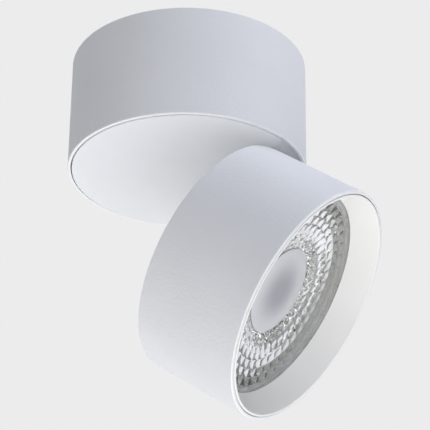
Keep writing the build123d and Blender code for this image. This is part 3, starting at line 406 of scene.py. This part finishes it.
# what each piece is made of
finishes = {
    "white_powder_coat": ["base_housing", "head_housing", "back_plate"],
    "turntable_abs": ["turntable_disc"],
    "baffle_abs": ["baffle_ring"],
    "frosted_polycarbonate": ["diffuser_disc"],
    "clear_polycarbonate": ["optic_lens"],
    "holder_polycarbonate": ["lens_holder"],
    "led_holder_pbt": ["cob_holder"],
    "led_ceramic": ["cob_board"],
    "phosphor_silicone": ["cob_emitter"],
    "cast_aluminium": ["heat_sink"],
    "zinc_plated_sheet": ["ceiling_plate", "retaining_ring", "hinge_arm"],
    "bright_zinc_screw": ["lock_screw", "driver_screws", "terminal_screws", "block_screws", "earth_screw",
                          "ring_screws", "arm_screws", "back_plate_screws", "hinge_pin", "hinge_nut",
                          "heat_sink_screws", "cob_screws"],
    "drawn_brass": ["terminal_sleeves"],
    "driver_polycarbonate": ["driver_case", "driver_lid"],
    "terminal_polyamide": ["terminal_block"],
    "circuit_board": ["driver_board"],
    "ferrite_core": ["driver_transformer"],
    "shrink_sleeve": ["driver_capacitors"],
    "glide_acetal": ["lower_glide_ring", "upper_glide_ring", "hinge_washers"],
    "black_rubber": ["cable_grommet"],
    "grey_rubber": ["lead_grommet"],
    "white_pvc": ["driver_output_lead", "turntable_lead", "head_lead"],
    "brown_pvc": ["live_wire"],
    "blue_pvc": ["neutral_wire"],
    "green_yellow_pvc": ["earth_wire"],
}

materials = {name: mouldedPlastic(name, values) for name, values in plastics.items()}
materials.update({name: metal(name, values) for name, values in metals.items()})
materials["white_powder_coat"] = powderCoat("white_powder_coat", powder)
materials["holder_polycarbonate"] = holderPolycarbonate("holder_polycarbonate", lensHolder)
materials["clear_polycarbonate"] = clearPolycarbonate("clear_polycarbonate", clearPlastic)
materials["frosted_polycarbonate"] = frostedPolycarbonate("frosted_polycarbonate", frostedPlastic)

for finish, names in finishes.items():
    for name in names:
        node = frame["nodes"][name]
        node.data.materials.clear()
        node.data.materials.append(materials[finish])
print("finishes set")

# the moulded lens: a flat front round a shallow beaded bowl, a back cone of rounded facets, and a well
# over the light source
lens = {
    "facetsRound": 40,
    "steps": 8,  # mesh steps across one facet
    "creaseAngle": 10.0,  # degrees
    # radius and depth where each band ends, its rows of facets, and how far the facets bulge; all in mm,
    # and depths go back from the head's front edge
    "bands": {
        "middle": (0.0, 15.5, 0, 0.0),
        "bowlFloor": (18.6, 15.5, 0, 0.0),
        "bowl": (26.5, 11.5, 4, 0.18),
        "front": (44.7, 11.5, 0, 0.0),
        "frontRound": (45.0, 11.8, 0, 0.0),
        "edge": (45.0, 14.0, 0, 0.0),
        "flange": (40.9, 14.0, 0, 0.0),
        "cone": (26.5, 19.0, 4, 0.5),
        "foot": (25.5, 19.0, 0, 0.0),
        "well": (21.5, 17.0, 3, 0.5),
        "wellMiddle": (0.0, 17.0, 0, 0.0),
    },
}

# the frosted disc that lies in the bowl, slightly domed
diffuser = {
    "facetsRound": 24,
    "steps": 8,
    "creaseAngle": 30.0,
    "bands": {
        "middle": (0.0, 14.4, 0, 0.0),
        "dome1": (6.0, 14.46, 0, 0.0),
        "dome2": (12.0, 14.65, 0, 0.0),
        "dome3": (17.9, 14.95, 0, 0.0),
        "edge": (18.2, 15.1, 0, 0.0),
        "side": (18.2, 15.45, 0, 0.0),
        "backMiddle": (0.0, 15.45, 0, 0.0),
    },
}


def makeTurned(name, values, finish):
    steps = values["steps"]
    around = values["facetsRound"] * steps
    mesh = bmesh.new()
    bands = list(values["bands"].values())
    radius, depth = bands[0][:2]
    rings = []
    for endRadius, endDepth, rows, bulge in bands[1:]:
        length = math.hypot(endRadius - radius, endDepth - depth)
        outward = ((endDepth - depth) / length, (radius - endRadius) / length)
        bandSteps = max(rows * steps, 1)
        for step in range(1, bandSteps + 1):
            row, inRow = divmod(step, steps)
            across = inRow / steps
            share = step / bandSteps
            ring = []
            for turn in range(around):
                # every other row is half a facet on, and 16 lifts a facet's middle by the whole bulge
                inFacet = (turn + (row % 2) * steps // 2) % steps / steps
                lift = bulge * 16 * across * (1 - across) * inFacet * (1 - inFacet)
                ring.append((
                    radius + (endRadius - radius) * share + outward[0] * lift,
                    2 * math.pi * turn / around,
                    depth + (endDepth - depth) * share + outward[1] * lift,
                ))
            rings.append(ring)
        radius, depth = endRadius, endDepth
    first = mesh.verts.new(headPoint(0, 0, bands[0][1]))
    last = mesh.verts.new(headPoint(0, 0, depth))
    rings = [[mesh.verts.new(headPoint(*point)) for point in ring] for ring in rings[:-1]]
    for inner, outer in zip(rings, rings[1:]):
        for turn in range(around):
            after = (turn + 1) % around
            mesh.faces.new((inner[turn], outer[turn], outer[after], inner[after]))
    for ring, middle in ((rings[0], first), (rings[-1], last)):
        for turn in range(around):
            mesh.faces.new((middle, ring[turn], ring[(turn + 1) % around]))
    bmesh.ops.recalc_face_normals(mesh, faces=mesh.faces)
    data = bpy.data.meshes.new(name)
    mesh.to_mesh(data)
    mesh.free()
    data.polygons.foreach_set("use_smooth", [True] * len(data.polygons))
    data.set_sharp_from_angle(angle=math.radians(values["creaseAngle"]))
    data.materials.append(materials[finish])
    piece = bpy.data.objects.new(name, data)
    scene.collection.objects.link(piece)
    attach(piece, "head")
    return piece


facetedLens = makeTurned("faceted_lens", lens, "clear_polycarbonate")
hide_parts("optic_lens")
frostedDisc = makeTurned("frosted_disc", diffuser, "frosted_polycarbonate")
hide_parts("diffuser_disc")
print("lens made")

# a plain backdrop and a pale floor, for a lamp that hangs in the air
room = {
    "floorLevel": -1.6,  # m, far below a lamp that hangs from a ceiling
    "floorHalfWidth": 6.0,
    "floorShown": 0.96,  # how much of its plain colour the floor keeps where no lamp reaches it
    "floorColour": "#ECECED",
    "floorPatch": "#EFEFEF",
    "patchesPerMetre": 3.0,
    "backdropColour": "#ECECED",
    "fillColour": "#E9ECF2",
    "fillStrength": 0.12,
}


# 1 for what the camera sees, also through clear plastic or in a shiny surface, and 0 for light that falls
# on things
def seenDirectly(tree):
    path = addNode(tree, "ShaderNodeLightPath")
    either = addNode(tree, "ShaderNodeMath", links={
        0: path.outputs["Is Camera Ray"], 1: path.outputs["Is Glossy Ray"],
    }, operation="MAXIMUM")
    seen = addNode(tree, "ShaderNodeMath", links={
        0: either.outputs[0], 1: path.outputs["Is Transmission Ray"],
    }, operation="MAXIMUM")
    return seen.outputs[0]


def makeWorld(values):
    world = bpy.data.worlds.new("plain_backdrop")
    scene.world = world
    world.use_nodes = True
    tree = world.node_tree
    tree.nodes.clear()
    fill = addNode(tree, "ShaderNodeBackground", {
        "Color": linear(values["fillColour"]), "Strength": values["fillStrength"]})
    shown = addNode(tree, "ShaderNodeBackground", {
        "Color": linear(values["backdropColour"]), "Strength": 1.0})
    both = addNode(tree, "ShaderNodeMixShader", links={
        0: seenDirectly(tree), 1: fill.outputs[0], 2: shown.outputs[0]})
    addNode(tree, "ShaderNodeOutputWorld", links={"Surface": both.outputs[0]})


def makeFloor(values):
    half, level = values["floorHalfWidth"], values["floorLevel"]
    mesh = bpy.data.meshes.new("floor")
    corners = [(-half, -half, level), (half, -half, level), (half, half, level), (-half, half, level)]
    mesh.from_pydata(corners, [], [(0, 1, 2, 3)])
    floor = bpy.data.objects.new("floor", mesh)
    scene.collection.objects.link(floor)
    material, tree, place = startMaterial("pale_floor")
    cloud = addNode(tree, "ShaderNodeTexNoise", {"Scale": values["patchesPerMetre"]}, {"Vector": place})
    colours = (values["floorColour"], values["floorPatch"])
    shader = addNode(tree, "ShaderNodeBsdfPrincipled", {"Roughness": 0.8}, {
        "Base Color": twoTone(tree, cloud.outputs["Fac"], colours, low=0.4, high=0.6)})
    plain = addNode(tree, "ShaderNodeEmission", {"Color": linear(values["floorColour"]), "Strength": 1.0})
    share = addNode(tree, "ShaderNodeMath", {1: values["floorShown"]}, {0: seenDirectly(tree)},
                    operation="MULTIPLY")
    endMaterial(tree, addNode(tree, "ShaderNodeMixShader", links={
        0: share.outputs[0], 1: shader.outputs[0], 2: plain.outputs[0]}))
    mesh.materials.append(material)


makeWorld(room)
makeFloor(room)

# broad and soft, and most of the light comes from below, as over a white table; places in m, powers in W
lamps = {
    "table": {"place": (0.0, 0.0, -0.74), "aim": (0.0, 0.0, -0.06), "width": 2.6, "power": 25.0,
              "colour": "#FFFFFF"},
    "right": {"place": (0.9, -0.5, -0.1), "aim": (0.0, 0.0, -0.06), "width": 0.7, "power": 2.7,
              "colour": "#F0F4FF"},
    "highRight": {"place": (0.45, 0.0, 0.8), "aim": (0.03, 0.0, -0.08), "width": 0.5, "power": 4.9,
                  "colour": "#F0F4FF"},
    "highFront": {"place": (0.0, -0.75, 0.55), "aim": (0.0, 0.0, -0.06), "width": 0.7, "power": 1.4,
                  "colour": "#F0F4FF"},
    "highLeft": {"place": (-0.6, -0.35, 0.6), "aim": (0.0, 0.0, -0.06), "width": 0.6, "power": 0.4,
                 "colour": "#F0F4FF"},
}


def makeLamp(name, values):
    lamp = bpy.data.lights.new(name, "AREA")
    lamp.shape = "SQUARE"
    lamp.size = values["width"]
    lamp.energy = values["power"]
    lamp.color = linear(values["colour"])[:3]
    holder = bpy.data.objects.new(name, lamp)
    scene.collection.objects.link(holder)
    holder.location = values["place"]
    direction = Vector(values["aim"]) - Vector(values["place"])
    holder.rotation_euler = direction.to_track_quat("-Z", "Y").to_euler()
    holder.visible_camera = False


for name, values in lamps.items():
    makeLamp(name, values)
print("lamps set")

# the photo's angle and perspective, worked out from the outlines of both cans
view = {
    "place": (0.21574, -0.66112, -0.42602),  # m
    "azimuth": 17.09,  # degrees
    "elevation": -27.17,
    "roll": 0.706,
    "lens": 157.9,  # mm
    "sensor": 36.0,
    "near": 0.01,  # m
    "far": 20.0,
}


def makeCamera(values):
    camera = bpy.data.cameras.new("photo_camera")
    camera.sensor_width = values["sensor"]
    camera.lens = values["lens"]
    holder = bpy.data.objects.new("photo_camera", camera)
    scene.collection.objects.link(holder)
    azimuth, elevation, roll = (math.radians(values[key]) for key in ("azimuth", "elevation", "roll"))
    turn = Matrix.Rotation(azimuth, 4, "Z") @ Matrix.Rotation(math.pi / 2 - elevation, 4, "X")
    holder.matrix_world = Matrix.Translation(values["place"]) @ turn @ Matrix.Rotation(roll, 4, "Z")
    camera.clip_start = values["near"]
    camera.clip_end = values["far"]
    scene.camera = holder


makeCamera(view)
scene.view_settings.view_transform = "Standard"
print("camera set")
